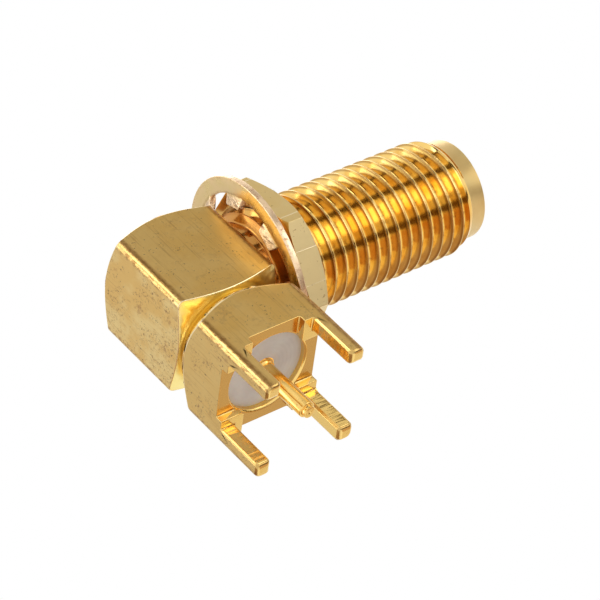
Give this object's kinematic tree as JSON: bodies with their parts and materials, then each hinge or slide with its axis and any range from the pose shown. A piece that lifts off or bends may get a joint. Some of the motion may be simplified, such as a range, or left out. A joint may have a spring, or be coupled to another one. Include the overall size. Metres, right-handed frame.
{
  "type": "sma connector",
  "caption": "Right-angle coaxial jack: square head and board base with solder legs, signal pin, long threaded barrel, hex nut and internal-tooth lock washer.",
  "frame": {"origin": "signal pin's axis at the level of the board, where the four bosses of the base stand on it", "axes": "+X along the threaded barrel towards its open mouth, +Z away from the board, so the legs and the signal pin point along -Z"},
  "size_m": [0.0202, 0.0104, 0.0152],
  "materials": {
    "gold_plating": "gold plating over brass, lightly stained",
    "contact_gold": "bright gold plating over brass",
    "insulator": "waxy white fluoropolymer"
  },
  "bodies": {
    "body": {"head_block": "gold_plating", "pcb_base": "gold_plating", "threaded_barrel": "gold_plating", "barrel_insulator": "insulator", "base_insulator": "insulator", "centre_contact": "contact_gold", "signal_pin": "contact_gold"},
    "washer": {"lock_washer": "gold_plating"},
    "nut": {"hex_nut": "gold_plating"}
  },
  "joints": [
    {"name": "washer_slide", "type": "slide", "parent": "body", "child": "washer", "axis": [1, 0, 0], "range_m": [0, 0.01056]},
    {"name": "nut_turn", "type": "hinge", "parent": "washer", "child": "nut", "pos_m": [0.005, 0, 0.00698], "axis": [1, 0, 0], "range_deg": [0, 5388]}
  ],
  "couplings": [
    {"joint": "nut_turn", "follows": "washer_slide", "rad_per_m": 8905.3}
  ]
}
